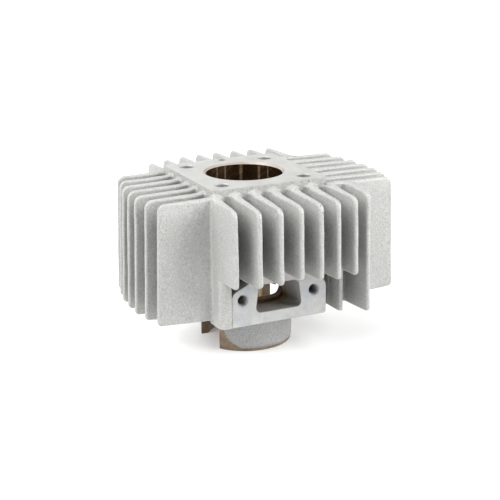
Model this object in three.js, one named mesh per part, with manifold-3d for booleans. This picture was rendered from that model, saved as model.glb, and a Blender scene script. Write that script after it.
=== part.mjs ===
// Cylinder barrel of a small air-cooled two-stroke engine: a finned aluminium casting
// around a cast-iron liner. Millimetres, +Z up.
//
// While the pieces are made, the bore axis is x = y = 0 and the base face is z = 0, so the deck
// is above and the liner's skirt is below. -Y is the intake side and +Y the exhaust side. The
// last lines move the whole object so that it stands on z = 0, centred over x = y = 0.

import * as THREE from "three";
import { mergeVertices } from "three/addons/utils/BufferGeometryUtils.js";
import Module from "manifold-3d";

// Bore and liner
const BORE_RADIUS = 19;
const LINER_RADIUS = 22.95;
const BORE_CHAMFER = 1;
const CAST_GAP = 0.3; // between the liner and the aluminium that is cast around it
const SKIRT_LENGTH = 21.4; // liner below the base face
const SKIRT_SLOT_HALF = 11.6; // half width of the skirt's cut-out on each side
const SKIRT_SLOT_TOP = 4;
const ROUND_STEPS = 64;
const BORE_AXIS_X = -4.6; // the fins reach further to the right, so the bore is left of the middle

// Block of the casting
const DECK_Z = 65.1;
const CORE_HALF = 30.5;
const CORE_CORNER = 3;
const STUD_PLACE = 21.7; // studs stand on a square of twice this
const STUD_HOLE_RADIUS = 3.5;
const HOLE_CHAMFER = 0.5;
const HOLE_STEPS = 20;
const DECK_HOLE = { y: 27.3, radius: 2.1, depth: 8 };

// Fins
const FIN_PITCH = 10.1;
const FIN_TIP_HALF = 1.1; // half thickness at the tip
const FIN_ROOT_HALF = 2.3; // half thickness where the root fillet ends
const FIN_FILLET = 1.6; // how far the root fillet spreads to each side
const FIN_LEAN = 1.9; // the foot of a full-height tip stands this much further out than its top
const FIN_HEIGHT = 62; // top of a fin near its tip
const FIN_TOP_CORNER = 3.6;
const FIN_FOOT_CORNER = 2.2;
const FIN_HUMP_Z = 63.7; // top of a fin where it climbs the side of the deck
const FIN_FOOT_RISE = 0.8; // the foot of a fin is this much higher at its tip than at its root

// Each bank: which way it points, the place of its first fin along the block's side, how far a
// fin's top falls to its tip, each fin's reach from the bore axis, and its foot's height there.
const BANKS = [
  {
    turn: -90,
    first: -29.7,
    drop: 1.2,
    reach: [55, 59, 60.5, 61, 61.5, 59.5, 57.5, 51.5],
    foot: [24, 24.2, 24.8, 26, 24.8, 23, 23.2, 2],
  },
  {
    turn: 90,
    first: -41.0,
    drop: 0.3,
    reach: [59, 61, 61.5, 62, 61.5, 60.3, 57.5, 53],
    foot: [3, 3, 44, 44, 44, 44, 44, 3],
  },
  {
    turn: 0,
    first: -30.3,
    drop: 0.3,
    reach: [65.9, 68.6, 70.5, 70.8, 69.7, 68.2, 66],
    foot: [4.4, 4.4, 4.4, 4.4, 4.4, 4.4, 4.4],
  },
  {
    turn: 180,
    first: -30.3,
    drop: 0.3,
    reach: [55.5, 58, 60.3, 61.3, 61.6, 60, 57.7],
    foot: [3, 3, 3, 3, 3, 3, 3],
  },
];

// Intake flange, its port and the casting beside it
const INTAKE_FACE = 40.7; // distance of the machined face from the bore axis
const INTAKE_LEFT = -26;
const INTAKE_RIGHT = 24.4;
const INTAKE_TOP = 24.5;
const INTAKE_SHOULDER = 10; // half width of the flat top
const INTAKE_MIDDLE = -1.2; // middle of the two tapped holes
const INTAKE_HOLE_SPACING = 37.7;
const INTAKE_HOLE_Z = 13;
const INTAKE_EARS = [5.8, 6.6]; // radius of the left and of the right ear
const TAPPED_RADIUS = 2.5;
const TAPPED_DEPTH = 13;
const PORT = { bottom: 5.9, top: 19.5, bottomHalf: 12.4, topHalf: 10.6, corner: 2.6 };
const PORT_FALL = 0.112; // the passage falls this much for each millimetre towards the bore
const WINDOW = { bottom: 5.4, top: 19, half: 11.2, corner: 3.6 };
const PILLAR = { left: -31.9, right: -25.7, bottom: 0, top: 24.3, corner: 2 };
const SHORT_FIN = { left: 29.9, right: 32.1, reach: 44, bottom: 1.2, top: 23.5, corner: 0.6 };

// Exhaust flange and port
const EXHAUST_FACE = 44;
const EXHAUST_Z = 28.5;
const EXHAUST_RADIUS = 11;
const EXHAUST_RIM = 16;
const EXHAUST_HOLE_SPACING = 40;
const EXHAUST_EAR = 6.5;
const EXHAUST_WINDOW = { bottom: 22.1, top: 35, half: 10, corner: 3 };

// Transfer passages, one on each side
const TRANSFER = { outer: 28.4, half: 11.6, top: 31, turn: 6 };
const TRANSFER_WINDOW = { bottom: 22.1, top: 30.2, half: 9, corner: 2 };

// Aluminium that covers the front of the skirt
const CLAD_THICKNESS = 0.5;
const CLAD_LENGTH = 19.9;
const CLAD_FROM = 222; // degrees around the bore
const CLAD_TO = 329;

const SQUARED = 0.3; // radius of a corner that is nearly sharp
const INTO = 1.5; // how far a cutter or a joined piece runs past the face it meets
const WINDOW_REACH = 12; // how deep a liner window's cutter goes towards the bore axis

const wasm = await Module();
wasm.setup();

// A closed three.js geometry as a manifold solid.
function solid(geometry) {
  const bare = geometry.clone();
  bare.deleteAttribute("normal");
  bare.deleteAttribute("uv");
  const merged = mergeVertices(bare, 1e-4);
  return new wasm.Manifold(
    new wasm.Mesh({
      numProp: 3,
      vertProperties: new Float32Array(merged.attributes.position.array),
      triVerts: new Uint32Array(merged.index.array),
    }),
  );
}

function named(name, body, look) {
  const mesh = body.getMesh();
  const geometry = new THREE.BufferGeometry();
  geometry.setAttribute("position", new THREE.BufferAttribute(mesh.vertProperties, 3));
  geometry.setIndex(new THREE.BufferAttribute(mesh.triVerts, 1));
  geometry.computeVertexNormals();
  const piece = new THREE.Mesh(geometry, new THREE.MeshStandardMaterial(look));
  piece.name = name;
  return piece;
}

// A shape drawn in x and y, raised along +Z from z = low to z = high.
function raised(shape, low, high) {
  const geometry = new THREE.ExtrudeGeometry(shape, {
    depth: high - low,
    bevelEnabled: false,
    curveSegments: 4,
  });
  return geometry.translate(0, 0, low);
}

// A shape drawn in x and z, seen from -Y, run from y = near to y = far.
function run(shape, near, far) {
  return raised(shape, -far, -near).rotateX(Math.PI / 2);
}

function drill(radius, top, bottom, x, y) {
  const round = new THREE.CylinderGeometry(radius, radius, top - bottom, HOLE_STEPS);
  return solid(round.rotateX(Math.PI / 2).translate(x, y, (top + bottom) / 2));
}

// A round bar along Y, from y = near to y = far.
function bar(radius, near, far, x, z, steps = HOLE_STEPS) {
  const round = new THREE.CylinderGeometry(radius, radius, far - near, steps);
  return solid(round.translate(x, (near + far) / 2, z));
}

// A polygon with every corner rounded.
function rounded(points, radii) {
  const shape = new THREE.Shape();
  points.forEach((point, i) => {
    const corner = new THREE.Vector2(...point);
    const before = new THREE.Vector2(...points.at(i - 1));
    const after = new THREE.Vector2(...points[(i + 1) % points.length]);
    const radius = Array.isArray(radii) ? radii[i] : radii;
    const enter = before.sub(corner).setLength(radius).add(corner);
    const leave = after.sub(corner).setLength(radius).add(corner);
    if (i === 0) {
      shape.moveTo(enter.x, enter.y);
    } else {
      shape.lineTo(enter.x, enter.y);
    }
    if (radius > 0) {
      shape.quadraticCurveTo(corner.x, corner.y, leave.x, leave.y);
    }
  });
  shape.closePath();
  return shape;
}

function opening({ bottom, top, half, corner, bottomHalf = half, topHalf = half }) {
  const outline = [
    [-bottomHalf, bottom],
    [bottomHalf, bottom],
    [topHalf, top],
    [-topHalf, top],
  ];
  return rounded(outline, corner);
}

// One fin pointing along +X, in the plane y = 0: its side outline cut to a tapered plan. Its root
// fillet begins at start, and its top there is at hump.
function fin(reach, foot, drop, start, hump) {
  const inner = CORE_HALF - INTO;
  const lean = (FIN_LEAN * (FIN_HEIGHT - foot)) / FIN_HEIGHT;
  const spread = start + FIN_FILLET * 2;
  const outline = rounded(
    [
      [inner, foot - FIN_FOOT_RISE],
      [reach + lean, foot],
      [reach, FIN_HEIGHT - drop],
      [spread, FIN_HEIGHT + drop / 2],
      [start, hump],
      [inner, hump],
    ],
    [0, FIN_FOOT_CORNER, FIN_TOP_CORNER, 0, 0, 0],
  );
  const side = solid(run(outline, -FIN_PITCH / 2, FIN_PITCH / 2));
  const halves = [
    [inner, FIN_ROOT_HALF + FIN_FILLET],
    [start, FIN_ROOT_HALF + FIN_FILLET],
    [start + FIN_FILLET / 3, FIN_ROOT_HALF + FIN_FILLET / 3],
    [spread, FIN_ROOT_HALF],
    [reach + lean + INTO, FIN_TIP_HALF],
  ];
  const mirrored = halves.map(([out, half]) => [out, -half]).reverse();
  const plan = rounded([...halves, ...mirrored], 0);
  return side.intersect(solid(raised(plan, -INTO, DECK_Z)));
}

// Fins at a corner of the block start from the flank of the fin across the corner, and they have
// no hump, as nothing of the deck's side is behind them.
function fins() {
  const all = [];
  for (const { turn, first, drop, reach, foot } of BANKS) {
    reach.forEach((length, i) => {
      const along = first + i * FIN_PITCH;
      const atCorner = Math.abs(along) > CORE_HALF - FIN_ROOT_HALF;
      const start = atCorner ? CORE_HALF + FIN_ROOT_HALF : CORE_HALF;
      const hump = atCorner ? FIN_HEIGHT + drop / 2 : FIN_HUMP_Z;
      const one = fin(length, foot[i], drop, start, hump);
      all.push(one.translate([0, along, 0]).rotate([0, 0, turn]));
    });
  }
  return all;
}

function block() {
  const corners = [
    [-CORE_HALF, -CORE_HALF],
    [CORE_HALF, -CORE_HALF],
    [CORE_HALF, CORE_HALF],
    [-CORE_HALF, CORE_HALF],
  ];
  return solid(raised(rounded(corners, CORE_CORNER), 0, DECK_Z));
}

// Two ears around the tapped holes, with a shoulder rising to a flat top between them.
function intakeFlange() {
  const half = INTAKE_HOLE_SPACING / 2;
  const [leftEar, rightEar] = INTAKE_EARS;
  const outline = new THREE.Shape();
  outline.moveTo(INTAKE_LEFT, 0);
  outline.lineTo(INTAKE_RIGHT, 0);
  outline.lineTo(INTAKE_RIGHT, INTAKE_HOLE_Z);
  outline.absarc(INTAKE_MIDDLE + half, INTAKE_HOLE_Z, rightEar, 0, Math.PI / 3);
  outline.lineTo(INTAKE_SHOULDER, INTAKE_TOP);
  outline.lineTo(-INTAKE_SHOULDER, INTAKE_TOP);
  outline.absarc(INTAKE_MIDDLE - half, INTAKE_HOLE_Z, leftEar, (Math.PI * 2) / 3, Math.PI);
  outline.lineTo(INTAKE_LEFT, 0);
  return solid(run(outline, -INTAKE_FACE, -CORE_HALF + INTO));
}

// An upright block on the front of the casting, its outer left corner rounded.
function upright({ left, right, reach = INTAKE_FACE, bottom, top, corner }) {
  const plan = [
    [left, -reach],
    [right, -reach],
    [right, -CORE_HALF + INTO],
    [left, -CORE_HALF + INTO],
  ];
  return solid(raised(rounded(plan, [corner, SQUARED, 0, 0]), bottom, top));
}

function exhaustFlange() {
  const middle = bar(EXHAUST_RIM, CORE_HALF - INTO, EXHAUST_FACE, 0, EXHAUST_Z, HOLE_STEPS * 2);
  const half = EXHAUST_HOLE_SPACING / 2;
  const ears = [
    [-half, -EXHAUST_EAR],
    [half, -EXHAUST_EAR],
    [half + EXHAUST_EAR, 0],
    [half, EXHAUST_EAR],
    [-half, EXHAUST_EAR],
    [-half - EXHAUST_EAR, 0],
  ].map(([x, z]) => [x, z + EXHAUST_Z]);
  const arms = rounded(ears, [0.5, 0.5, 4, 0.5, 0.5, 4]);
  return middle.add(solid(run(arms, CORE_HALF - INTO, EXHAUST_FACE)));
}

// Aluminium film over the front of the skirt, joined to the block above it.
function clad() {
  const inner = LINER_RADIUS + CAST_GAP;
  const from = THREE.MathUtils.degToRad(CLAD_FROM);
  const to = THREE.MathUtils.degToRad(CLAD_TO);
  const ring = new THREE.Shape();
  ring.absarc(0, 0, inner + CLAD_THICKNESS, from, to);
  ring.absarc(0, 0, inner, to, from, true);
  const geometry = new THREE.ExtrudeGeometry(ring, {
    depth: CLAD_LENGTH + INTO,
    bevelEnabled: false,
    curveSegments: 18,
  });
  return solid(geometry.translate(0, 0, -CLAD_LENGTH));
}

function studHoles() {
  const holes = [];
  for (const x of [-STUD_PLACE, STUD_PLACE]) {
    for (const y of [-STUD_PLACE, STUD_PLACE]) {
      const wide = STUD_HOLE_RADIUS + 2 * HOLE_CHAMFER;
      const cone = new THREE.CylinderGeometry(wide, STUD_HOLE_RADIUS, 2 * HOLE_CHAMFER, HOLE_STEPS);
      holes.push(drill(STUD_HOLE_RADIUS, DECK_Z + INTO, -INTO, x, y));
      holes.push(solid(cone.rotateX(Math.PI / 2).translate(x, y, DECK_Z)));
    }
  }
  return holes;
}

function tappedHoles() {
  const holes = [];
  for (const side of [-1, 1]) {
    const intakeX = INTAKE_MIDDLE + (side * INTAKE_HOLE_SPACING) / 2;
    const intakeFrom = -INTAKE_FACE - INTO;
    const intakeTo = -INTAKE_FACE + TAPPED_DEPTH;
    holes.push(bar(TAPPED_RADIUS, intakeFrom, intakeTo, intakeX, INTAKE_HOLE_Z));
    const exhaustX = (side * EXHAUST_HOLE_SPACING) / 2;
    const exhaustFrom = EXHAUST_FACE - TAPPED_DEPTH;
    holes.push(bar(TAPPED_RADIUS, exhaustFrom, EXHAUST_FACE + INTO, exhaustX, EXHAUST_Z));
  }
  return holes;
}

// It falls towards the bore, so that its floor meets the liner below the liner's window.
function intakePassage() {
  const passage = run(opening(PORT), -INTO, INTAKE_FACE - BORE_RADIUS);
  const fall = new THREE.Matrix4().makeShear(0, 0, 0, -PORT_FALL, 0, 0);
  return solid(passage.applyMatrix4(fall).translate(INTAKE_MIDDLE, -INTAKE_FACE, 0));
}

// The passage outside the liner that carries the charge up from the crankcase, on the +X side.
function transferPassage() {
  const outline = rounded(
    [
      [BORE_RADIUS, -INTO],
      [TRANSFER.outer, -INTO],
      [TRANSFER.outer, TRANSFER.top],
      [BORE_RADIUS, TRANSFER.top],
    ],
    [0, 0, TRANSFER.turn, 0],
  );
  const reach = TRANSFER.half;
  return solid(run(outline, -reach, reach));
}

function barrelCasting() {
  const seat = LINER_RADIUS + CAST_GAP;
  const joined = [
    block(),
    ...fins(),
    intakeFlange(),
    upright(PILLAR),
    upright(SHORT_FIN),
    exhaustFlange(),
    clad(),
  ];
  const lining = new THREE.CylinderGeometry(seat, seat, DECK_Z + 2 * INTO, ROUND_STEPS);
  lining.rotateX(Math.PI / 2).translate(0, 0, DECK_Z / 2);
  const skirtRoom = new THREE.CylinderGeometry(seat, seat, SKIRT_LENGTH * 2, ROUND_STEPS);
  skirtRoom.rotateX(Math.PI / 2);
  const passage = transferPassage();
  const cut = [
    solid(lining),
    solid(skirtRoom),
    ...studHoles(),
    ...tappedHoles(),
    drill(DECK_HOLE.radius, DECK_Z + INTO, DECK_Z - DECK_HOLE.depth, 0, DECK_HOLE.y),
    intakePassage(),
    bar(EXHAUST_RADIUS, BORE_RADIUS, EXHAUST_FACE + INTO, 0, EXHAUST_Z, HOLE_STEPS * 2),
    passage,
    passage.rotate([0, 0, 180]),
  ];
  return wasm.Manifold.difference([wasm.Manifold.union(joined), ...cut]);
}

function cylinderLiner() {
  const profile = [
    [BORE_RADIUS, -SKIRT_LENGTH + BORE_CHAMFER],
    [BORE_RADIUS + BORE_CHAMFER, -SKIRT_LENGTH],
    [LINER_RADIUS, -SKIRT_LENGTH],
    [LINER_RADIUS, DECK_Z],
    [BORE_RADIUS + BORE_CHAMFER, DECK_Z],
    [BORE_RADIUS, DECK_Z - BORE_CHAMFER],
    [BORE_RADIUS, -SKIRT_LENGTH + BORE_CHAMFER],
  ].map(([radius, z]) => new THREE.Vector2(radius, z));
  const sleeve = new THREE.LatheGeometry(profile, ROUND_STEPS).rotateX(Math.PI / 2);
  const out = LINER_RADIUS + INTO;
  const slot = new THREE.BoxGeometry(
    2 * out,
    2 * SKIRT_SLOT_HALF,
    SKIRT_LENGTH + SKIRT_SLOT_TOP + INTO,
  );
  slot.translate(0, 0, (SKIRT_SLOT_TOP - SKIRT_LENGTH - INTO) / 2);
  const transfers = run(opening(TRANSFER_WINDOW), -out, out).rotateZ(Math.PI / 2);
  return wasm.Manifold.difference([
    solid(sleeve),
    solid(slot),
    solid(transfers),
    solid(run(opening(WINDOW), -out, -WINDOW_REACH)),
    solid(run(opening(EXHAUST_WINDOW), WINDOW_REACH, out)),
  ]);
}

const barrel = new THREE.Group();
barrel.add(
  named("barrel_casting", barrelCasting(), { color: 0xc9cac6, roughness: 0.62, metalness: 0.75 }),
  named("cylinder_liner", cylinderLiner(), { color: 0x5b4433, roughness: 0.4, metalness: 0.8 }),
);
barrel.position.set(BORE_AXIS_X, 0, SKIRT_LENGTH);

export default barrel;
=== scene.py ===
"""Looks of a small two-stroke cylinder barrel: the finned casting and its liner, in Blender 4.5.

The meshes are made in millimetres around the bore axis, with z = 0 at the base face, then placed
in the frame by place(). -Y is the intake side.
"""

import math

import bmesh
import bpy
import numpy as np
from mathutils import Matrix, Vector, noise


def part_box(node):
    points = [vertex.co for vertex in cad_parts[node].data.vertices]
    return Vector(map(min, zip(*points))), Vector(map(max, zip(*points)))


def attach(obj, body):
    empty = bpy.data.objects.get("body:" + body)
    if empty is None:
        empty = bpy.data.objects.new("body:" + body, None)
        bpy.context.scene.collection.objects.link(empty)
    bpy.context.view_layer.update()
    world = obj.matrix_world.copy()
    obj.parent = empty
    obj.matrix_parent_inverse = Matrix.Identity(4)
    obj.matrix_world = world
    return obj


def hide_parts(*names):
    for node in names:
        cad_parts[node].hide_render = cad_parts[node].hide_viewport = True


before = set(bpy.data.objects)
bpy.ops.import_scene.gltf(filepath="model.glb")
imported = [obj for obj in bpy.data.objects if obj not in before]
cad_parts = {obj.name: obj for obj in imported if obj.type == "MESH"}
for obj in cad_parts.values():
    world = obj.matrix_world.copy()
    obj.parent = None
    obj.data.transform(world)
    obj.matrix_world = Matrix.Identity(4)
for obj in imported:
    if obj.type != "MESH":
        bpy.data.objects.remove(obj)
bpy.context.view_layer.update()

liner_low, liner_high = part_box("cylinder_liner")
noise.seed_set(2)  # without a seed, noise_vector differs from run to run

# Bore and liner, mm
BORE = 19.0
LINER = 22.95
SEAT_GAP = 0.02
BORE_CHAMFER = 1.0
SKIRT_CHAMFER = 0.8
LINER_CHAMFER = 0.3
SKIRT = 21.4
SLOT_HALF = 11.6
SLOT_TOP = 4.0
# Light streaks up the bore, painted reflections of the studio in the glossy wall: where, and half their
# width, both in degrees around the axis
PAINTED_REFLECTIONS = [(111, 1.2), (95.4, 1.8), (70, 3.2), (41.7, 2.6), (25.9, 1.4), (-60, 3), (200, 3)]
DECK = (liner_high.z - liner_low.z) * 1000 - SKIRT

# Block
CORE = 30.5
CORE_CORNER = 3.0
STUD = 21.7
STUD_HOLE = 3.5
STUD_CHAMFER = 0.5
DECK_HOLE = dict(radius=2.1, y=27.3, depth=8)
MACHINED_OFF = 0.6  # stock that the deck and base cuts take off the casting
SUNK = 1.5  # how far inside the block the fins and flanges start
PAST = 2  # how far a cutter runs past the face it cuts
WAVES = [(14, 0.22), (4, 0.06)]  # size and height of the unevenness that the mould leaves

# Fins
PITCH = 10.1
TIP_HALF = 1.1
ROOT_HALF = 2.35
CORNER_FILLET = 1.5
LEAN = 1.9
FIN_TOP = 62.0
TOP_CORNER = 3.6
FOOT_CORNER = 2.2
FOOT_RISE = 0.8
KNEE_CORNER = 2.0
HUMP = 64.0
HUMP_SHARE = 0.15  # how thick a fin's hump is at its top, as a share of the root
HUMP_FROM = 61.8
HUMP_OUT = 0.5
HUMP_CORNER = 0.6
CORNER_START = 1.3  # how far outside the block an end fin's outer fillet starts
CORNER_OVERLAP = 0.3  # how far inside the next bank's end fin the fillets of a fin off the block start
NO_FILLET = 1e-6
EDGE_RADIUS = 0.95
EDGE_RINGS = (0.0, 0.1, 0.3, 0.6, 1.0)  # shares of EDGE_RADIUS
OUTLINE_STEP = 1.5
GRID_FROM = 5.0  # the flanks are cut into a grid, coarse out here and finer over the root fillet
GRID_STEP = 4.0
ROOT_SPAN = 3.2
ROOT_LINES = (0.03, 0.1, 0.22, 0.36, 0.52, 0.7, 0.95)  # shares of ROOT_SPAN

# The four banks. turn is the side that a bank points to, in degrees from +X, and first is its first
# fin's place along that side. drop is how far its tips are below FIN_TOP. knee is where the top starts
# to rise to the hump: how far out, and its height. root is the root fillet. reach and foot list each
# fin's tip and lowest level. peaks has the height at the block of an end fin, where it isn't the knee's.
BANKS = [
    dict(
        turn=-90, first=-29.7, drop=1.2, knee=(6.0, 61.7), root=2.6,
        reach=[55, 59, 60.5, 61, 61.4, 59.5, 57.5, 51.5],
        foot=[24, 24.2, 24.8, 26, 24.8, 23, 23.2, 2],
        peaks={0: 64.2},
    ),
    dict(
        turn=90, first=-41.0, drop=0.3, knee=(2.4, 62.2), root=1.8,
        reach=[59, 61, 61.5, 62, 61.5, 60.3, 57.5, 53],
        foot=[3, 3, 44, 44, 44, 44, 44, 3],
        peaks={},
    ),
    dict(
        turn=0, first=-30.3, drop=0.3, knee=(2.4, 62.2), root=1.2,
        reach=[65.9, 68.6, 70.5, 70.8, 69.7, 68.2, 66],
        foot=[4.4] * 7,
        peaks={},
    ),
    dict(
        turn=180, first=-30.3, drop=0.3, knee=(2.0, 62.0), root=1.2,
        reach=[55.5, 58, 60.3, 61.2, 61.4, 60, 57.7],
        foot=[3] * 7,
        peaks={},
    ),
]

# Intake and exhaust
INTAKE_FACE = 40.7
INTAKE_MIDDLE = -1.2
INTAKE_LEFT = -26.0
INTAKE_RIGHT = 24.4
INTAKE_TOP = 24.5
INTAKE_SHOULDER = 10.0
INTAKE_HOLES = 37.7
INTAKE_HOLE_Z = 13.0
INTAKE_EARS = (5.8, 6.6)
FLANGE_BEVEL = 0.25
PORT = dict(bottom=5.6, top=19.5, bottom_half=12.4, top_half=10.6, corner=2.6)
PORT_FALL = 0.112
WINDOW = dict(bottom=5.4, top=19, bottom_half=11.2, top_half=11.2, corner=3.6)
TAPPED = 2.5
TAPPED_DEPTH = 13.0
TAPPED_CHAMFER = 0.6
DRILL_TIP = 1.2
THREAD_PITCH = 1.0
THREAD_DEPTH = 0.35
PILLAR = dict(left=-31.9, right=-25.7, top=24.3)
SHORT = dict(left=29.9, right=32.1, reach=44.0, bottom=1.2, top=23.8)
EXHAUST_FACE = 44.0
EXHAUST_Z = 28.5
EXHAUST = 11.0
EXHAUST_RIM = 16.0
EXHAUST_HOLES = 40.0
EXHAUST_EAR = 6.5
EXHAUST_WINDOW = dict(bottom=22.1, top=35, bottom_half=10, top_half=10, corner=3)
TRANSFER = dict(outer=28.4, half=11.6, top=31.0, turn=6.0)
TRANSFER_WINDOW = dict(bottom=22.1, top=30.2, bottom_half=9, top_half=9, corner=2)

# Casting pores and knocks: where, and the radius of the ball that each is cut with
PORES = [
    ((10.5, -30.6, 64.6), 0.4),
    ((10.2, -31.2, 64.0), 0.5),
    ((0.8, -30.6, 64.3), 0.35),
    ((-19.8, -30.6, 64.3), 0.4),
    ((20.0, -30.5, 64.4), 0.4),
    ((30.0, -29.4, 65.0), 0.6),
    ((-31.2, 19.6, 64.1), 0.5),
    ((9.4, -38.2, 61.9), 0.35),
    ((0.5, -58.9, 60.7), 0.55),
    ((1.2, -59.4, 60.3), 0.45),
    ((-0.2, -61.4, 57.0), 0.4),
    ((10.6, -60.0, 60.3), 0.4),
    ((10.8, -61.8, 56.9), 0.75),
    ((-28.9, -55.5, 55.4), 0.6),
    ((-26.7, 4.5, 72.05), 7.1),
]
SEAM_PORES = dict(count=11, first=1.2, step=1.35)

# Aluminium over the front of the skirt
CLAD_OUT = 23.5
CLAD_LENGTH = 19.9
CLAD_TOP = 1.0
CLAD_LEFT = 216.6  # degrees around the axis
CLAD_RIGHT = 329
CLAD_CUT = 25  # degrees that its left edge moves in at the bottom
CLAD_FADES = (22, 60, 14)  # how fast it thins towards its left, right and lower edges

SHARP_ANGLE = 32  # degrees between faces, where shading turns sharp
NEAR = 0.02  # faces this close to a machined level belong to it


def place(obj):
    """Takes a mesh made in millimetres around the bore axis to its size and place in the frame."""
    axis = (liner_low + liner_high) / 2
    obj.data.transform(Matrix.Scale(0.001, 4))
    obj.location = (axis.x, axis.y, liner_low.z + SKIRT / 1000)


def new_object(name, verts, faces):
    mesh = bpy.data.meshes.new(name)
    mesh.from_pydata([tuple(v) for v in verts], [], [tuple(f) for f in faces])
    obj = bpy.data.objects.new(name, mesh)
    bpy.context.scene.collection.objects.link(obj)
    return obj


def from_bmesh(name, bm):
    bmesh.ops.recalc_face_normals(bm, faces=bm.faces)
    mesh = bpy.data.meshes.new(name)
    bm.to_mesh(mesh)
    bm.free()
    obj = bpy.data.objects.new(name, mesh)
    bpy.context.scene.collection.objects.link(obj)
    return obj


def combine(target, others, operation):
    """Joins or cuts target with each other solid, and removes them."""
    for other in others:
        step = target.modifiers.new("solid", "BOOLEAN")
        step.operation = operation
        step.solver = "MANIFOLD"
        step.object = other
        evaluated = target.evaluated_get(bpy.context.evaluated_depsgraph_get())
        mesh = bpy.data.meshes.new_from_object(evaluated)
        target.modifiers.clear()
        old = target.data
        target.data = mesh
        bpy.data.meshes.remove(old)
        bpy.data.objects.remove(other)


def merged(name, objects):
    """One object of several that don't touch each other."""
    bm = bmesh.new()
    for obj in objects:
        bm.from_mesh(obj.data)
        bpy.data.objects.remove(obj)
    return from_bmesh(name, bm)


def outline(corners, radii, step=OUTLINE_STEP):
    """A counterclockwise polygon with round corners, as points and their inward normals."""
    corners = np.asarray(corners, float)
    points, normals = [], []
    ends = []
    for i, corner in enumerate(corners):
        before = corner - corners[i - 1]
        after = corners[(i + 1) % len(corners)] - corner
        a0 = math.atan2(before[1], before[0])
        turn = (math.atan2(after[1], after[0]) - a0 + math.pi) % (2 * math.pi) - math.pi
        cut = abs(radii[i] * math.tan(turn / 2))
        enter = corner - before / np.linalg.norm(before) * cut
        side = math.copysign(1, turn)
        centre = enter + side * radii[i] * np.array((-math.sin(a0), math.cos(a0)))
        arc = []
        count = max(2, math.ceil(abs(turn) / math.radians(18))) if radii[i] else 0
        for k in range(count + 1):
            a = a0 + turn * (k / count if count else 0.5)
            inward = np.array((-math.sin(a), math.cos(a)))
            arc.append((centre - side * radii[i] * inward if count else corner, inward))
        ends.append(arc)
    for i, arc in enumerate(ends):
        for point, inward in arc:
            points.append(point)
            normals.append(inward)
        here, there = arc[-1][0], ends[(i + 1) % len(ends)][0][0]
        run = there - here
        length = np.linalg.norm(run)
        inward = np.array((-run[1], run[0])) / max(length, 1e-9)
        for k in range(1, math.ceil(length / step)):
            points.append(here + run * k / math.ceil(length / step))
            normals.append(inward)
    return np.array(points), np.array(normals)


def prism(name, points, low, high, to_3d, bevel=0.0, normals=None):
    """A flat outline raised from low to high. to_3d turns (a, b, height) rows into x, y, z."""
    levels = [(low, 0.0), (high - bevel, 0.0)]
    if bevel:
        levels.append((high, bevel))
    rows = []
    for height, inset in levels:
        flat = points + (normals * inset if bevel else 0)
        rows.append(np.c_[flat, np.full(len(flat), height)])
    count = len(points)
    verts = to_3d(np.concatenate(rows))
    faces = [range(count - 1, -1, -1), range(count * (len(levels) - 1), count * len(levels))]
    for level in range(len(levels) - 1):
        for i in range(count):
            j = (i + 1) % count
            at = level * count
            faces.append((at + i, at + j, at + count + j, at + count + i))
    bm = bmesh.new()
    made = [bm.verts.new(v) for v in verts]
    for face in faces:
        bm.faces.new([made[i] for i in face])
    return from_bmesh(name, bm)


def upward(rows):
    return rows


def forward(rows):
    """Outline in x and z, raised along Y."""
    return rows[:, [0, 2, 1]]


def lathe(name, profile, steps, centre=(0, 0), along="Z"):
    """A closed profile of (radius, height) turned about a line along Z or Y through centre."""
    verts, faces = [], []
    count = len(profile)
    for i in range(steps):
        a = 2 * math.pi * i / steps
        for radius, height in profile:
            u = centre[0] + radius * math.cos(a)
            v = centre[1] + radius * math.sin(a)
            verts.append((u, v, height) if along == "Z" else (u, height, v))
        for k in range(count):
            n = (k + 1) % count
            j = (i + 1) % steps
            faces.append((i * count + k, i * count + n, j * count + n, j * count + k))
    bm = bmesh.new()
    made = [bm.verts.new(v) for v in verts]
    for face in faces:
        bm.faces.new([made[i] for i in face])
    bmesh.ops.remove_doubles(bm, verts=bm.verts, dist=1e-5)
    return from_bmesh(name, bm)


def rod(name, radius, low, high, centre=(0, 0), along="Z", steps=48):
    return lathe(name, [(0, low), (radius, low), (radius, high), (0, high)], steps, centre, along)


def opening(bottom, top, bottom_half, top_half, corner):
    corners = [(-bottom_half, bottom), (bottom_half, bottom), (top_half, top), (-top_half, top)]
    return outline(corners, [corner] * 4)


# Fins


def flare(out, start, radius):
    """How much a root fillet adds to a fin's half thickness, this far out."""
    into = np.clip(out - start, 0, radius)
    return radius - np.sqrt(radius**2 - (radius - into) ** 2)


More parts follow.
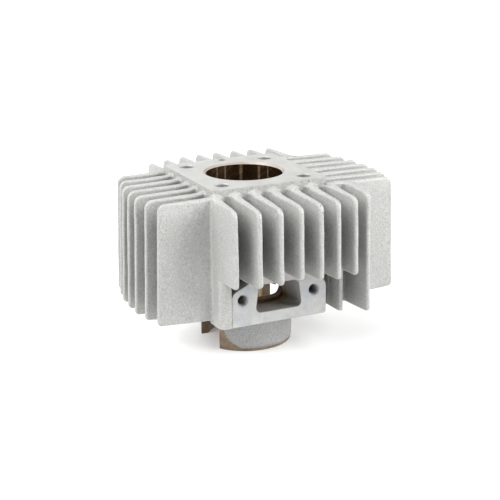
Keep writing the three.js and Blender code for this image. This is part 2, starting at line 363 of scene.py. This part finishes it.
def fin(reach, foot, drop, knee, starts, fillets, hump):
    """One fin pointing along +X: rings that round its edge, and a grid over each flank."""
    inner = CORE - SUNK
    lean = LEAN * (FIN_TOP - foot) / FIN_TOP
    corners = [(inner, foot - FOOT_RISE), (reach + lean, foot)]
    radii = [0, FOOT_CORNER]
    corners += [(reach, FIN_TOP - drop), (CORE + knee[0], knee[1]), (CORE + HUMP_OUT, hump)]
    corners += [(inner, hump)]
    radii += [TOP_CORNER, KNEE_CORNER, HUMP_CORNER, 0]
    points, normals = outline(corners, radii)

    def half(out):
        far = reach + lean
        share = np.clip((out - CORE) / (far - CORE), 0, 1)
        return ROOT_HALF + (TIP_HALF - ROOT_HALF) * share

    bm = bmesh.new()
    known = {}
    for side in (-1, 1):
        before = None
        for share in EDGE_RINGS:
            ring = points + normals * (share * EDGE_RADIUS)
            verts = [bm.verts.new((x, side, z)) for x, z in ring]
            for vert in verts:
                known[vert] = share
            if before:
                for i in range(len(verts)):
                    j = i - 1
                    bm.faces.new((before[j], before[i], verts[i], verts[j]))
            else:
                edge = verts if side < 0 else [edge, verts]
            before = verts
        flank = bm.faces.new(before)
        near = CORE + ROOT_SPAN * np.array(ROOT_LINES)
        outs = [*np.arange(CORE + GRID_FROM, reach, GRID_STEP), *near]
        levels = [*np.arange(GRID_STEP, HUMP_FROM, GRID_STEP), HUMP_FROM]
        lines = [(Vector((x, 0, 0)), Vector((1, 0, 0))) for x in outs]
        lines += [(Vector((0, 0, z)), Vector((0, 0, 1))) for z in levels]
        faces = [flank]
        for where, normal in lines:
            edges = dict.fromkeys(e for f in faces for e in f.edges)
            verts = dict.fromkeys(v for f in faces for v in f.verts)
            cut = bmesh.ops.bisect_plane(
                bm, geom=[*faces, *edges, *verts], plane_co=where, plane_no=normal, dist=1e-4
            )
            faces = [g for g in cut["geom"] if isinstance(g, bmesh.types.BMFace)]
    low, high = edge
    for i in range(len(low)):
        bm.faces.new((low[i - 1], low[i], high[i], high[i - 1]))
    for vert in bm.verts:
        out, side = vert.co.x, vert.co.y
        which = 0 if side < 0 else 1
        share = known.get(vert, 1.0)
        thick = half(out) + flare(out, starts[which], fillets[which])
        rise = np.clip((vert.co.z - HUMP_FROM) / (HUMP - HUMP_FROM), 0, 1)
        thick *= 1 - (1 - HUMP_SHARE) * rise
        thick -= EDGE_RADIUS * (1 - math.sqrt(1 - (1 - share) ** 2))
        vert.co.y = math.copysign(thick, side)
    return bm


def bank_fins(bank):
    """The fins of one bank, in place. The fins nearest a corner stand partly or wholly off the block."""
    made = []
    sideways = bank["turn"] in (0, 180)
    for i, reach in enumerate(bank["reach"]):
        along = bank["first"] + i * PITCH
        outer = 0 if along < 0 else 1
        starts, fillets = [CORE, CORE], [bank["root"]] * 2
        hump = HUMP
        if abs(along) > CORE - ROOT_HALF:
            hump = bank["peaks"].get(i, bank["knee"][1])
            starts[outer] = CORE + CORNER_START
            fillets[outer] = CORNER_FILLET if sideways else NO_FILLET
            if abs(along) > CORE + PITCH / 2:
                starts = [CORE + ROOT_HALF - CORNER_OVERLAP] * 2
                fillets = [CORNER_FILLET] * 2
        bm = fin(reach, bank["foot"][i], bank["drop"], bank["knee"], starts, fillets, hump)
        move = Matrix.Rotation(math.radians(bank["turn"]), 4, "Z") @ Matrix.Translation((0, along, 0))
        bm.transform(move)
        made.append(from_bmesh("fin", bm))
    return made


# The casting


def block():
    corners = [(-CORE, -CORE), (CORE, -CORE), (CORE, CORE), (-CORE, CORE)]
    points, _ = outline(corners, [CORE_CORNER] * 4, step=3)
    return prism("block", points, -MACHINED_OFF, DECK + MACHINED_OFF, upward)


def upright(name, near, far, reach, corner, low, high):
    """A block on the front of the casting. near and far are its x extents at its two ends."""
    back = -CORE + SUNK
    corners = [(near[0], -reach), (near[1], -reach), (far[1], back), (far[0], back)]
    points, _ = outline(corners, corner, step=3)
    return prism(name, points, low, high, upward)


def pillar():
    left, right = PILLAR["left"], PILLAR["right"]
    near, far = (left + 0.35, right), (left, right)
    return upright("pillar", near, far, INTAKE_FACE, [3.2, 0.4, 0, 0], -MACHINED_OFF, PILLAR["top"])


def short_fin():
    near, far = (SHORT["left"], SHORT["right"]), (SHORT["left"] - 0.6, SHORT["right"] + 0.6)
    return upright("short_fin", near, far, SHORT["reach"], [1, 1, 0, 0], SHORT["bottom"], SHORT["top"])


def intake_flange():
    """The machined flange. Its ears' outlines go by their sizes to the left and right."""
    middle, half = INTAKE_MIDDLE, INTAKE_HOLES / 2
    left, right = INTAKE_EARS
    corners = [
        (INTAKE_LEFT, 0),
        (INTAKE_RIGHT, 0),
        (INTAKE_RIGHT, INTAKE_HOLE_Z + right * 0.62),
        (middle + half - right * 0.1, INTAKE_HOLE_Z + right * 1.15),
        (INTAKE_SHOULDER, INTAKE_TOP),
        (-INTAKE_SHOULDER, INTAKE_TOP),
        (middle - half + left * 0.1, INTAKE_HOLE_Z + left * 1.15),
        (middle - half - left, INTAKE_HOLE_Z + left * 0.62),
        (middle - half - left, INTAKE_HOLE_Z - left * 0.5),
        (INTAKE_LEFT, INTAKE_HOLE_Z - left * 0.6),
    ]
    radii = [0.2, 1.5, 5.2, 5.5, 2, 2, 5, 4.6, 0.1, 0.1]
    points, normals = outline(corners, radii)
    out = prism("intake_flange", points, CORE - SUNK, INTAKE_FACE, forward, FLANGE_BEVEL, normals)
    out.data.transform(Matrix.Scale(-1, 4, (0, 1, 0)))
    out.data.flip_normals()
    return out


def exhaust_flange():
    half = EXHAUST_HOLES / 2
    rim = np.array([(math.cos(a), math.sin(a)) for a in np.linspace(0, 2 * math.pi, 64, False)])
    middle = prism(
        "exhaust_flange", rim * EXHAUST_RIM + (0, EXHAUST_Z), CORE - SUNK, EXHAUST_FACE, forward,
        FLANGE_BEVEL, -rim,
    )
    corners = [(half + EXHAUST_EAR, -EXHAUST_EAR), (half + EXHAUST_EAR, EXHAUST_EAR)]
    corners += [(-x, -z) for x, z in corners]
    points, normals = outline(np.array(corners) + (0, EXHAUST_Z), [EXHAUST_EAR - 0.1] * 4)
    arms = prism("arms", points, CORE - SUNK, EXHAUST_FACE, forward, FLANGE_BEVEL, normals)
    combine(middle, [arms], "UNION")
    return middle


def clad():
    """Aluminium film on the front of the skirt, its left edge ragged where the metal ran out."""
    bm = bmesh.new()
    rows = 70
    columns = 60
    inner = LINER + SEAT_GAP
    grid = {}
    for r in range(rows + 1):
        down = r / rows
        z = CLAD_TOP - (CLAD_LENGTH + CLAD_TOP) * down
        ragged = 1.6 * noise.noise(Vector((0.35 * z, 0, 3))) + 3.4 * noise.noise(Vector((1.4 * z, 5, 0)))
        left = CLAD_LEFT + CLAD_CUT * down**6 + ragged
        for c in range(columns + 1):
            share = c / columns
            angle = math.radians(left + (CLAD_RIGHT - left) * share)
            to_edges = (share, 1 - share, 1 - down)
            end = min(1, *(gap * fade for gap, fade in zip(to_edges, CLAD_FADES)))
            thick = (CLAD_OUT - inner) * math.sin(math.pi / 2 * max(end, 0.02))
            for level, radius in enumerate((inner, inner + thick)):
                point = (radius * math.cos(angle), radius * math.sin(angle), z)
                grid[r, c, level] = bm.verts.new(point)
    for r in range(rows):
        for c in range(columns):
            for level in (0, 1):
                cells = [(r, c), (r, c + 1), (r + 1, c + 1), (r + 1, c)]
                bm.faces.new([grid[a, b, level] for a, b in cells])
    rim = [(0, c) for c in range(columns)] + [(r, columns) for r in range(rows)]
    rim += [(rows, c) for c in range(columns, 0, -1)] + [(r, 0) for r in range(rows, 0, -1)]
    for here, there in zip(rim, rim[1:] + rim[:1]):
        bm.faces.new((grid[*here, 0], grid[*there, 0], grid[*there, 1], grid[*here, 1]))
    return from_bmesh("clad", bm)


def stud_holes():
    mouth = STUD_HOLE + STUD_CHAMFER
    profile = [
        (0, -PAST),
        (mouth, -PAST),
        (mouth, 0),
        (STUD_HOLE, STUD_CHAMFER),
        (STUD_HOLE, DECK - STUD_CHAMFER),
        (mouth, DECK),
        (mouth, DECK + PAST),
        (0, DECK + PAST),
    ]
    return [lathe("stud", profile, 40, (x, y)) for x in (-STUD, STUD) for y in (-STUD, STUD)]


def deck_hole():
    low = DECK - DECK_HOLE["depth"]
    return rod("deck_hole", DECK_HOLE["radius"], low, DECK + PAST, (0, DECK_HOLE["y"]))


def tapped(x, z, face, outward):
    """A cutter for a threaded hole that opens at y = face, with ring grooves for its thread."""
    mouth = TAPPED + TAPPED_CHAMFER
    profile = [(0, TAPPED_DEPTH + DRILL_TIP), (TAPPED * 0.8, TAPPED_DEPTH + DRILL_TIP)]
    for k in range(int(TAPPED_DEPTH / THREAD_PITCH), 0, -1):
        depth = k * THREAD_PITCH
        profile += [(TAPPED, depth + THREAD_PITCH * 0.4), (TAPPED + THREAD_DEPTH, depth)]
    profile += [(TAPPED, TAPPED_CHAMFER), (mouth, 0), (mouth, -1), (0, -1)]
    profile = [(radius, face - outward * depth) for radius, depth in profile]
    return lathe("tapped", profile, 32, (x, z), "Y")


def intake_passage():
    points, _ = opening(**PORT)
    points = points + (INTAKE_MIDDLE, 0)
    passage = prism("passage", points, -INTAKE_FACE - 1.5, -BORE, forward)
    for vert in passage.data.vertices:
        vert.co.z -= PORT_FALL * (vert.co.y + INTAKE_FACE)
    return passage


def transfer_passage(degrees):
    inner = LINER - 1.5
    outer, top = TRANSFER["outer"], TRANSFER["top"]
    corners = [(inner, -PAST), (outer, -PAST), (outer, top), (inner, top)]
    points, _ = outline(corners, [0, 0, TRANSFER["turn"], 0])
    passage = prism("transfer", points, -TRANSFER["half"], TRANSFER["half"], forward)
    passage.data.transform(Matrix.Rotation(math.radians(degrees), 4, "Z"))
    return passage


def ball(centre, radius):
    bm = bmesh.new()
    bmesh.ops.create_icosphere(bm, subdivisions=3, radius=radius)
    bm.transform(Matrix.Translation(centre))
    return from_bmesh("ball", bm)


def pores():
    """The named pores, and a row where the machined flange face meets the cast pillar."""
    made = [ball(centre, radius) for centre, radius in PORES]
    for i in range(SEAM_PORES["count"]):
        z = SEAM_PORES["first"] + SEAM_PORES["step"] * i
        size = 0.3 + 0.35 * abs(noise.noise(Vector((i * 1.7, 2, 0))))
        across = 0.8 * noise.noise(Vector((i * 2.3, 0, 5)))
        made.append(ball((PILLAR["right"] + across, -INTAKE_FACE, z), size))
    return made


def slab(low, high, reach=90):
    square = np.array([(-reach, -reach), (reach, -reach), (reach, reach), (-reach, reach)], float)
    return prism("slab", square, low, high, upward)


def roughen(obj, size, amount):
    """Moves vertices by smooth noise, as a sand mould leaves no face quite flat."""
    for vert in obj.data.vertices:
        vert.co += noise.noise_vector(vert.co / size) * amount


def make_casting():
    casting = block()
    front, back, right, left = [bank_fins(bank) for bank in BANKS]
    combine(casting, [merged("fins", front + back)], "UNION")
    combine(casting, [merged("fins", right + left), pillar(), short_fin()], "UNION")
    for size, amount in WAVES:
        roughen(casting, size, amount)
    combine(casting, [slab(DECK, DECK + 5), slab(-5, 0)], "DIFFERENCE")
    combine(casting, [intake_flange(), exhaust_flange(), clad()], "UNION")
    seat = LINER + SEAT_GAP
    half = INTAKE_HOLES / 2
    cutters = [
        rod("seat", seat, -SKIRT - 1, DECK + PAST, steps=128),
        deck_hole(),
        intake_passage(),
        rod("exhaust", EXHAUST, BORE, EXHAUST_FACE + PAST, (0, EXHAUST_Z), "Y", 64),
        transfer_passage(0),
        transfer_passage(180),
        *stud_holes(),
        tapped(INTAKE_MIDDLE - half, INTAKE_HOLE_Z, -INTAKE_FACE, -1),
        tapped(INTAKE_MIDDLE + half, INTAKE_HOLE_Z, -INTAKE_FACE, -1),
        tapped(-EXHAUST_HOLES / 2, EXHAUST_Z, EXHAUST_FACE, 1),
        tapped(EXHAUST_HOLES / 2, EXHAUST_Z, EXHAUST_FACE, 1),
        *pores(),
    ]
    combine(casting, cutters, "DIFFERENCE")
    casting.name = "casting"
    return casting


# The liner


def make_liner():
    profile = [
        (BORE, -SKIRT + SKIRT_CHAMFER),
        (BORE + SKIRT_CHAMFER, -SKIRT),
        (LINER - LINER_CHAMFER, -SKIRT),
        (LINER, -SKIRT + LINER_CHAMFER),
        (LINER, DECK),
        (BORE + BORE_CHAMFER, DECK),
        (BORE, DECK - BORE_CHAMFER),
    ]
    liner = lathe("liner", profile, 192)
    inside, out = 12, LINER + 1.5
    slot = np.array([(-out, -SLOT_HALF), (out, -SLOT_HALF), (out, SLOT_HALF), (-out, SLOT_HALF)])
    transfers = prism("transfers", opening(**TRANSFER_WINDOW)[0], -out, out, forward)
    transfers.data.transform(Matrix.Rotation(math.pi / 2, 4, "Z"))
    cutters = [
        prism("slot", slot, -SKIRT - PAST, SLOT_TOP, upward),
        transfers,
        prism("intake", opening(**WINDOW)[0], -out, -inside, forward),
        prism("exhaust", opening(**EXHAUST_WINDOW)[0], inside, out, forward),
    ]
    combine(liner, cutters, "DIFFERENCE")
    return liner


# Materials


def material(name, metallic, roughness):
    made = bpy.data.materials.new(name)
    made.use_nodes = True
    shader = made.node_tree.nodes["Principled BSDF"]
    shader.inputs["Metallic"].default_value = metallic
    shader.inputs["Roughness"].default_value = roughness
    return made, made.node_tree, shader


def texture(tree, kind, scale, **values):
    node = tree.nodes.new(kind)
    place_node = tree.nodes.get("Where") or tree.nodes.new("ShaderNodeTexCoord")
    place_node.name = "Where"
    tree.links.new(place_node.outputs["Object"], node.inputs["Vector"])
    node.inputs["Scale"].default_value = scale
    for key, value in values.items():
        node.inputs[key].default_value = value
    return node


def ramp(tree, source, stops):
    node = tree.nodes.new("ShaderNodeValToRGB")
    tree.links.new(source, node.inputs["Fac"])
    elements = node.color_ramp.elements
    while len(elements) < len(stops):
        elements.new(0.5)
    for element, (at, colour) in zip(elements, stops):
        element.position = at
        element.color = (*colour, 1) if isinstance(colour, tuple) else (colour,) * 3 + (1,)
    return node.outputs["Color"]


def mixed(tree, kind, share, a, b):
    node = tree.nodes.new("ShaderNodeMix")
    node.data_type = "RGBA"
    node.blend_type = kind
    node.inputs["Factor"].default_value = share
    tree.links.new(a, node.inputs["A"])
    tree.links.new(b, node.inputs["B"])
    return node.outputs["Result"]


def bump(tree, shader, heights):
    """Chains bumps from (height output, strength, distance in metres)."""
    last = None
    for height, strength, distance in heights:
        node = tree.nodes.new("ShaderNodeBump")
        node.inputs["Strength"].default_value = strength
        node.inputs["Distance"].default_value = distance
        tree.links.new(height, node.inputs["Height"])
        if last:
            tree.links.new(last, node.inputs["Normal"])
        last = node.outputs["Normal"]
    tree.links.new(last, shader.inputs["Normal"])


def maths(tree, operation, a, b=0.0):
    node = tree.nodes.new("ShaderNodeMath")
    node.operation = operation
    for socket, value in zip(node.inputs, (a, b)):
        if isinstance(value, (int, float)):
            socket.default_value = value
        else:
            tree.links.new(value, socket)
    return node.outputs[0]


def round_the_bore(tree):
    """Angle around the bore axis in radians, and height in metres."""
    where = tree.nodes.new("ShaderNodeTexCoord")
    split = tree.nodes.new("ShaderNodeSeparateXYZ")
    tree.links.new(where.outputs["Object"], split.inputs[0])
    return maths(tree, "ARCTAN2", split.outputs["Y"], split.outputs["X"]), split.outputs["Z"]


def oiled(tree, colour):
    """Browns the casting next to the liner, in the ports and above the base face."""
    reaches, lowest, highest = 0.0325, 0.001, 0.035  # metres
    where = tree.nodes.new("ShaderNodeTexCoord")
    split = tree.nodes.new("ShaderNodeSeparateXYZ")
    tree.links.new(where.outputs["Object"], split.inputs[0])
    square = maths(tree, "MULTIPLY", split.outputs["X"], split.outputs["X"])
    other = maths(tree, "MULTIPLY", split.outputs["Y"], split.outputs["Y"])
    radius = maths(tree, "SQRT", maths(tree, "ADD", square, other))
    patch = texture(tree, "ShaderNodeTexNoise", 350, Detail=3.0, Roughness=0.6)
    reach = maths(tree, "ADD", radius, maths(tree, "MULTIPLY", patch.outputs["Fac"], 0.008))
    near = maths(tree, "MULTIPLY", maths(tree, "SUBTRACT", reaches, reach), 250.0)
    above = maths(tree, "GREATER_THAN", split.outputs["Z"], lowest)
    below = maths(tree, "LESS_THAN", split.outputs["Z"], highest)
    share = maths(tree, "MULTIPLY", maths(tree, "MULTIPLY", above, below), near)
    node = tree.nodes.new("ShaderNodeMix")
    node.data_type = "RGBA"
    node.inputs["B"].default_value = (0.30, 0.205, 0.125, 1)
    tree.links.new(maths(tree, "MINIMUM", share, 0.85), node.inputs["Factor"])
    tree.links.new(colour, node.inputs["A"])
    return node.outputs["Result"]


def cast_aluminium(name, base):
    """Fine grain over blotches and broad clouds, and painted light by height: paler near the fins' tops,
    a little darker below them.
    """
    made, tree, shader = material(name, 0.25, 0.55)
    grain = texture(tree, "ShaderNodeTexNoise", 1700, Detail=2.0, Roughness=0.6)
    blotch = texture(tree, "ShaderNodeTexNoise", 700, Detail=3.0, Roughness=0.6)
    cloud = texture(tree, "ShaderNodeTexNoise", 60, Detail=2.0, Roughness=0.5)
    fine = ramp(tree, grain.outputs["Fac"], [(0.3, 0.5), (0.7, 1.0)])
    light = tuple(1.2 * part for part in base)
    middle = ramp(tree, blotch.outputs["Fac"], [(0.3, base), (0.7, light)])
    broad = ramp(tree, cloud.outputs["Fac"], [(0.3, 0.95), (0.7, 1.0)])
    colour = mixed(tree, "MULTIPLY", 0.72, middle, fine)
    colour = mixed(tree, "MULTIPLY", 1.0, colour, broad)
    _, height = round_the_bore(tree)
    # painted light and shade: the colour is multiplied down to 0.88 below the fins' tops and rises to
    # full at the top, as if more light fell there
    painted_top_light = ramp(tree, maths(tree, "MULTIPLY", height, 10.0), [(0.54, 0.88), (0.635, 1.0)])
    colour = mixed(tree, "MULTIPLY", 1.0, colour, painted_top_light)
    tree.links.new(oiled(tree, colour), shader.inputs["Base Color"])
    rough = ramp(tree, blotch.outputs["Fac"], [(0.3, 0.5), (0.7, 0.66)])
    tree.links.new(rough, shader.inputs["Roughness"])
    bump(tree, shader, [
        (cloud.outputs["Fac"], 0.3, 0.0006),
        (blotch.outputs["Fac"], 0.4, 0.0002),
        (grain.outputs["Fac"], 0.7, 0.0002),
    ])
    return made


def machined_aluminium(name, cool, warm):
    """Smoother than cast, with stains that run from a cool to a warm colour."""
    made, tree, shader = material(name, 0.2, 0.45)
    stain = texture(tree, "ShaderNodeTexNoise", 160, Detail=5.0, Roughness=0.65)
    marks = texture(tree, "ShaderNodeTexNoise", 1500, Detail=2.0, Roughness=0.6)
    base = ramp(tree, stain.outputs["Fac"], [(0.38, cool), (0.62, warm)])
    lines = ramp(tree, marks.outputs["Fac"], [(0.35, 0.86), (0.65, 1.0)])
    tree.links.new(mixed(tree, "MULTIPLY", 0.7, base, lines), shader.inputs["Base Color"])
    rough = ramp(tree, stain.outputs["Fac"], [(0.3, 0.4), (0.7, 0.52)])
    tree.links.new(rough, shader.inputs["Roughness"])
    bump(tree, shader, [(marks.outputs["Fac"], 0.35, 0.00008)])
    return made


def iron_bore():
    """Honed and glossy: light streaks of painted reflection run up the wall, and fine scratches cross it
    both ways.
    """
    made, tree, shader = material("iron_bore", 1.0, 0.26)
    angle, height = round_the_bore(tree)
    light = 0.0
    # painted reflections: each streak lightens the bore's base colour and makes it less metallic
    for middle, half in PAINTED_REFLECTIONS:
        off = maths(tree, "ABSOLUTE", maths(tree, "SUBTRACT", angle, math.radians(middle)))
        painted_streak = maths(tree, "SUBTRACT", 1.6, maths(tree, "DIVIDE", off, math.radians(half) / 1.6))
        light = maths(tree, "MAXIMUM", maths(tree, "MINIMUM", painted_streak, 1.0), light)
    base = ramp(tree, light, [(0.0, (0.27, 0.185, 0.11)), (1.0, (0.42, 0.305, 0.20))])
    less = maths(tree, "SUBTRACT", 1.0, maths(tree, "MULTIPLY", light, 0.25))
    tree.links.new(less, shader.inputs["Metallic"])
    around = maths(tree, "MULTIPLY", angle, BORE / 1000)
    scratches = []
    for slope in (-0.55, 0.55):
        across = maths(tree, "ADD", around, maths(tree, "MULTIPLY", height, slope))
        along = maths(tree, "SUBTRACT", height, maths(tree, "MULTIPLY", around, slope))
        where = tree.nodes.new("ShaderNodeCombineXYZ")
        tree.links.new(maths(tree, "MULTIPLY", along, 2600.0), where.inputs["X"])
        tree.links.new(maths(tree, "MULTIPLY", across, 60.0), where.inputs["Y"])
        lines = tree.nodes.new("ShaderNodeTexNoise")
        lines.inputs["Scale"].default_value = 1.0
        tree.links.new(where.outputs[0], lines.inputs["Vector"])
        scratches.append(lines.outputs["Fac"])
    worn = ramp(tree, scratches[0], [(0.3, 0.72), (0.63, 1.0), (0.71, 3.5)])
    tree.links.new(mixed(tree, "MULTIPLY", 1.0, base, worn), shader.inputs["Base Color"])
    bump(tree, shader, [(lines, 0.25, 0.00005) for lines in scratches])
    return made


def iron_edge():
    made, tree, shader = material("iron_edge", 0.2, 0.4)
    stain = texture(tree, "ShaderNodeTexNoise", 300, Detail=3.0, Roughness=0.6)
    base = ramp(tree, stain.outputs["Fac"], [(0.3, (0.34, 0.285, 0.24)), (0.7, (0.40, 0.345, 0.30))])
    tree.links.new(base, shader.inputs["Base Color"])
    bump(tree, shader, [(stain.outputs["Fac"], 0.2, 0.00005)])
    return made


def iron_outside():
    made, tree, shader = material("iron_outside", 0.4, 0.5)
    stain = texture(tree, "ShaderNodeTexNoise", 150, Detail=4.0, Roughness=0.6)
    grain = texture(tree, "ShaderNodeTexNoise", 1500, Detail=2.0, Roughness=0.6)
    base = ramp(tree, stain.outputs["Fac"], [(0.3, (0.15, 0.10, 0.062)), (0.7, (0.29, 0.22, 0.155))])
    fine = ramp(tree, grain.outputs["Fac"], [(0.3, 0.75), (0.7, 1.0)])
    tree.links.new(mixed(tree, "MULTIPLY", 0.8, base, fine), shader.inputs["Base Color"])
    bump(tree, shader, [(stain.outputs["Fac"], 0.3, 0.0002), (grain.outputs["Fac"], 0.4, 0.0001)])
    return made


def finish_mesh(obj, materials, choose):
    """Gives each face its material, and soft shading with sharp machined edges.

    Faces of many corners are cut into triangles first, because they can render with gaps.
    """
    obj.data.materials.clear()
    for made in materials:
        obj.data.materials.append(made)
    bm = bmesh.new()
    bm.from_mesh(obj.data)
    many_sided = [face for face in bm.faces if len(face.verts) > 4]
    bmesh.ops.triangulate(bm, faces=many_sided, ngon_method="EAR_CLIP")
    bm.to_mesh(obj.data)
    bm.free()
    for face in obj.data.polygons:
        face.material_index = choose(face.center, face.normal)
    obj.data.shade_smooth()
    obj.data.set_sharp_from_angle(angle=math.radians(SHARP_ANGLE))
    weighted = obj.modifiers.new("weighted", "WEIGHTED_NORMAL")
    weighted.keep_sharp = True
    place(obj)


def casting_face(centre, normal):
    """Which of the casting's looks a face has.

    0 as cast, 1 on the deck, the base face and the stud holes' chamfers, 2 on the flange faces and
    in the intake's tapped holes, 3 in the stud holes, 4 on the film over the skirt.
    """
    x, y, z = centre
    if abs(z - DECK) < NEAR or abs(z) < NEAR and normal.z < -0.9:
        return 1
    from_stud = math.hypot(abs(x) - STUD, abs(y) - STUD)
    # painted shade: look 3 is a darker machined look standing in for the shade deep inside the stud
    # holes
    if from_stud < STUD_HOLE + 0.1:
        return 3
    if from_stud < STUD_HOLE + STUD_CHAMFER + 0.1:
        return 1
    if abs(y + INTAKE_FACE) < NEAR and normal.y < -0.9 and x > INTAKE_LEFT + 0.3:
        return 2
    from_tapped = math.hypot(abs(x - INTAKE_MIDDLE) - INTAKE_HOLES / 2, z - INTAKE_HOLE_Z)
    if y < 0 and from_tapped < TAPPED + TAPPED_CHAMFER + 0.1:
        return 2
    if abs(y - EXHAUST_FACE) < NEAR and normal.y > 0.9:
        return 2
    return 4 if z < -0.01 else 0


def liner_face(centre, _normal):
    """0 in the bore, 1 outside and on cut edges, 2 on the upper chamfer, 3 on the machined top."""
    radius = math.hypot(centre.x, centre.y)
    if centre.z > DECK - NEAR:
        return 3
    if centre.z > DECK - BORE_CHAMFER and radius < LINER - 0.1:
        return 2
    return 0 if radius < BORE + 0.05 else 1


# The studio


def softbox(name, comes_from, spread, strength):
    """Even light from one side of the studio. spread is how wide its source looks, in degrees."""
    data = bpy.data.lights.new(name, "SUN")
    data.energy = strength
    data.angle = math.radians(spread)
    light = bpy.data.objects.new(name, data)
    light.rotation_euler = Vector(comes_from).to_track_quat("Z", "Y").to_euler()
    bpy.context.scene.collection.objects.link(light)


def studio():
    scene = bpy.context.scene
    world = bpy.data.worlds.new("studio")
    scene.world = world
    world.use_nodes = True
    sky = world.node_tree.nodes["Background"]
    sky.inputs["Color"].default_value = (1, 1, 1, 1)
    sky.inputs["Strength"].default_value = 0.07
    scene.view_settings.view_transform = "Standard"

    floor = new_object("floor", [(-3, -3, 0), (3, -3, 0), (3, 3, 0), (-3, 3, 0)], [(0, 1, 2, 3)])
    made, _, shader = material("pale_floor", 0, 0.9)
    shader.inputs["Base Color"].default_value = (0.85, 0.85, 0.85, 1)
    shader.inputs["Emission Color"].default_value = (1, 1, 1, 1)
    shader.inputs["Emission Strength"].default_value = 0.13
    floor.data.materials.append(made)
    softbox("left", (-0.8, -0.03, 0.76), 55, 4.85)
    softbox("right", (0.71, -0.55, 0.47), 42, 4.8)
    softbox("back", (0, 0.7, 0.7), 60, 1.35)


def camera():
    """A long lens that looks at the intake side from its left and a little above."""
    heading, pitch, roll = math.radians(24.88), math.radians(16.90), math.radians(-0.59)
    distance = 0.620
    back = Vector((
        -math.sin(heading) * math.cos(pitch),
        -math.cos(heading) * math.cos(pitch),
        math.sin(pitch),
    ))
    right = Vector((math.cos(heading), -math.sin(heading), 0))
    up = back.cross(right)
    rolled_right = math.cos(roll) * right + math.sin(roll) * up
    rolled_up = math.cos(roll) * up - math.sin(roll) * right
    axis = (liner_low + liner_high) / 2
    target = Vector((axis.x, axis.y, liner_low.z + (SKIRT + 25) / 1000))
    data = bpy.data.cameras.new("camera")
    data.lens = 88.67
    data.sensor_width = 36
    data.shift_x = 0.0103
    data.shift_y = -0.003
    cam = bpy.data.objects.new("camera", data)
    turn = Matrix((rolled_right, rolled_up, back)).transposed().to_4x4()
    cam.matrix_world = Matrix.Translation(target + back * distance) @ turn
    bpy.context.scene.collection.objects.link(cam)
    bpy.context.scene.camera = cam


camera()
studio()

casting = make_casting()
deck_look = machined_aluminium("deck_aluminium", (0.385, 0.385, 0.37), (0.43, 0.43, 0.41))
flange_look = machined_aluminium("flange_aluminium", (0.30, 0.315, 0.33), (0.385, 0.38, 0.36))
# painted shade: a darker machined look for the stud holes, standing in for the shade inside them
hole_painted_shade_look = machined_aluminium("drilled_painted_shade_aluminium", (0.27, 0.27, 0.265), (0.36, 0.355, 0.345))
looks = [
    cast_aluminium("cast_aluminium", (0.445, 0.445, 0.43)),
    deck_look,
    flange_look,
    hole_painted_shade_look,
    cast_aluminium("film_aluminium", (0.38, 0.385, 0.38)),
]
finish_mesh(casting, looks, casting_face)
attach(casting, "root")
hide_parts("barrel_casting")

liner = make_liner()
finish_mesh(liner, [iron_bore(), iron_outside(), iron_edge(), deck_look], liner_face)
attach(liner, "root")
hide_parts("cylinder_liner")
